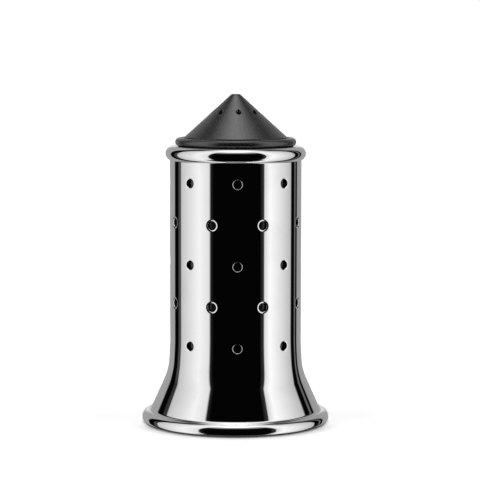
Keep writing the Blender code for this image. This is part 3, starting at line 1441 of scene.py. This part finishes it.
@dataclass
class Studio:
    """A table studio: a pale floor, cards of light at the sides, soft light overhead and the camera."""

    dark: float = 0.0015
    cards: tuple[LightCard, ...] = (
        LightCard(-220.0, -133.5, 0.393, 0.43, ceiling=49.0, level_soft=12.0),
        LightCard(-119.5, -113.0, 0.055, 0.11, start_soft=1.5, ceiling=16.0, level_soft=14.0),
        LightCard(-111.0, -66.0, 0.68, 1.17),
        LightCard(-66.0, -45.6, 1.17, 0.95, bottom=-46.0, level_soft=8.0),
        LightCard(-45.6, -38.0, 0.02, 0.0),
        LightCard(43.0, 51.0, 0.0, 0.05),
        LightCard(51.0, 62.0, 0.87, 1.27, start_soft=1.2, bottom=-46.0, level_soft=8.0),
        LightCard(62.0, 113.0, 1.27, 0.61),
        LightCard(125.0, 129.0, 0.19, 0.19),
        LightCard(136.0, 220.0, 0.39, 0.428, ceiling=49.0, level_soft=12.0),
        LightCard(168.0, 220.0, 0.42, 0.42, start_soft=7.0, bottom=1.0, ceiling=14.0, level_soft=4.5),
        LightCard(-220.0, -168.0, 0.42, 0.42, end_soft=7.0, bottom=1.0, ceiling=14.0, level_soft=4.5),
    )
    overhead: SoftBox = SoftBox(1.25, side_fade=(44, 8), front_fade=(-50, -4), back_fade=(46, 6))
    overhead_core: SoftBox = SoftBox(1.0, side_fade=(17, 2), front_fade=(-22, -4), back_fade=(22, 2))
    narrowing: float = 0.07
    narrowing_start: float = 10.0
    below: float = 0.9
    below_upper_fade: Point = (-76.0, -78.0)
    below_lower_fade: Point = (-86.0, -84.0)

    floor_colour: float = 0.80
    floor_seen: float = 1.9
    floor_radius: float = 3.0
    floor_height: float = -0.00002
    floor_sides: int = 96
    # Painted shadow: the floor's colour is darkened in front of the foot, over the contact radius and
    # reach.
    contact_shade: float = 0.26
    contact_radius: float = 0.030
    contact_reach: float = 0.0065
    contact_front: Point = (-0.004, -0.016)
    # Painted shadow: a grey ring under the foot, hidden from the camera, which the steel mirrors in
    # place of the shaded table.
    shadow_colour: Colour = (0.25, 0.25, 0.25, 1.0)
    shadow_bore: float = 0.0270
    shadow_radius: float = 0.0301
    shadow_height: float = -0.00001

    camera_place: tuple[float, float, float] = (0.0, -0.685, 0.1266)
    camera_pitch: float = 5.73
    camera_yaw: float = 0.1085
    camera_roll: float = 0.093
    lens: float = 159.41
    sensor_width: float = 36.0
    clip_near: float = 0.01
    clip_far: float = 20.0

    def world(self) -> None:
        """Lights the scene from all round; the camera itself sees plain white."""
        world = bpy.data.worlds.new("studio_world")
        bpy.context.scene.world = world
        world.use_nodes = True
        graph = Graph(world.node_tree)
        towards = graph.add("ShaderNodeTexCoord")["Generated"]
        axes = graph.add("ShaderNodeSeparateXYZ", {}, {"Vector": towards})
        x, y, z = axes["X"], axes["Y"], axes["Z"]
        degree = math.degrees(1)
        azimuth = graph.math("ARCTAN2", x, -y) * degree
        elevation = graph.math("ARCSINE", z) * degree
        light = sum((card.light(azimuth, elevation) for card in self.cards), start=self.dark)
        pitch = graph.math("ARCTAN2", y, z) * degree
        lean = graph.math("ABSOLUTE", graph.math("ARCTAN2", x, z)) * degree
        backwards = graph.math("MAXIMUM", pitch - self.narrowing_start, 0.0)
        narrowed = lean * (backwards * self.narrowing + 1.0)
        light = graph.math("MAXIMUM", light, self.overhead.glow(narrowed, pitch))
        light = light + self.overhead_core.glow(lean, pitch)
        low = elevation.ramp(*self.below_upper_fade) * elevation.ramp(*self.below_lower_fade)
        light = light + low * self.below
        seen = graph.add("ShaderNodeLightPath")["Is Camera Ray"]
        light = light * (1 - seen) + seen
        background = graph.add("ShaderNodeBackground", {}, {"Color": light, "Strength": 1.0})
        graph.add("ShaderNodeOutputWorld", {}, {"Surface": background["Background"]})

    def floor_surface(self, graph: Graph) -> Wire:
        """Draws the pale matt floor with a painted shadow in front of the foot; from below it lets the
        view through.

        Args:
            graph: The material's empty graph.

        Returns:
            The floor's shader.
        """
        seen = graph.add("ShaderNodeLightPath")["Is Camera Ray"]
        place = graph.place()
        radius = graph.add("ShaderNodeVectorMath", {"operation": "LENGTH"}, {0: place})["Value"]
        depth = graph.add("ShaderNodeSeparateXYZ", {}, {"Vector": place})["Y"]
        # Painted shadow: the camera's view of the floor is darkened near the front of the foot.
        near = radius.ramp(self.contact_radius + self.contact_reach, self.contact_radius)
        near = near * depth.ramp(*self.contact_front)
        bright = self.floor_seen - near * (self.contact_shade * self.floor_seen)
        colour = self.floor_colour + seen * (bright - self.floor_colour)
        matt = graph.add("ShaderNodeBsdfDiffuse", {}, {"Color": colour})
        clear = graph.add("ShaderNodeBsdfTransparent")
        below = graph.add("ShaderNodeNewGeometry")["Backfacing"]
        sockets = {0: below, 1: matt["BSDF"], 2: clear["BSDF"]}
        return graph.add("ShaderNodeMixShader", {}, sockets)["Shader"]

    def shadow_surface(self, graph: Graph) -> Wire:
        """Draws the painted shadow: the dark grey that stands in for the shaded table which the steel
        mirrors under its foot.
        """
        return graph.add("ShaderNodeBsdfDiffuse", {}, {"Color": self.shadow_colour})["BSDF"]

    def floor(self) -> None:
        """Lays the table top, which the camera sees, and the ring of painted shadow, which the steel
        mirrors.
        """
        Bench.clear()
        bpy.ops.mesh.primitive_circle_add(
            vertices=self.floor_sides,
            radius=self.floor_radius,
            fill_type="NGON",
            location=(0, 0, self.floor_height),
        )
        floor = Bench.name(bpy.context.object, "table_top")
        floor.visible_glossy = False
        floor.data.materials.append(painted("pale_floor", self.floor_surface))
        # A painted shadow: a grey ring under the foot that only the steel's reflections see.
        band = [(radius, self.shadow_height) for radius in (self.shadow_bore, self.shadow_radius)]
        shadow = Bench.turn("mirrored_shadow", band, self.floor_sides)
        shadow.visible_camera = False
        shadow.data.materials.append(painted("shaded_table", self.shadow_surface))
        for piece in (floor, shadow):
            piece.visible_diffuse = False
            piece.visible_shadow = False

    def camera(self) -> None:
        """Sets the camera at the photograph's viewing angle."""
        Bench.clear()
        turn = (
            math.radians(90 - self.camera_pitch),
            math.radians(-self.camera_roll),
            math.radians(-self.camera_yaw),
        )
        bpy.ops.object.camera_add(location=self.camera_place, rotation=turn)
        camera = bpy.context.object
        camera.name = "studio_camera"
        camera.data.lens = self.lens
        camera.data.sensor_width = self.sensor_width
        camera.data.clip_start = self.clip_near
        camera.data.clip_end = self.clip_far
        bpy.context.scene.camera = camera

    def build(self) -> None:
        """Builds the studio."""
        bpy.context.scene.view_settings.view_transform = "Standard"
        self.world()
        self.floor()
        self.camera()
        LOG.info("studio: %d cards of light", len(self.cards))


def main() -> None:
    """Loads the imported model, builds each sub-assembly over it and sets up the studio."""
    logging.basicConfig(level=logging.INFO, format="%(name)s: %(message)s")
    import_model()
    wardrobe = Wardrobe()
    SteelBody().build(wardrobe)
    Container().build(wardrobe)
    Cap().build(wardrobe)
    Base().build(wardrobe)
    Studio().build()
    Bench.clear()


if __name__ == "__main__":
    main()
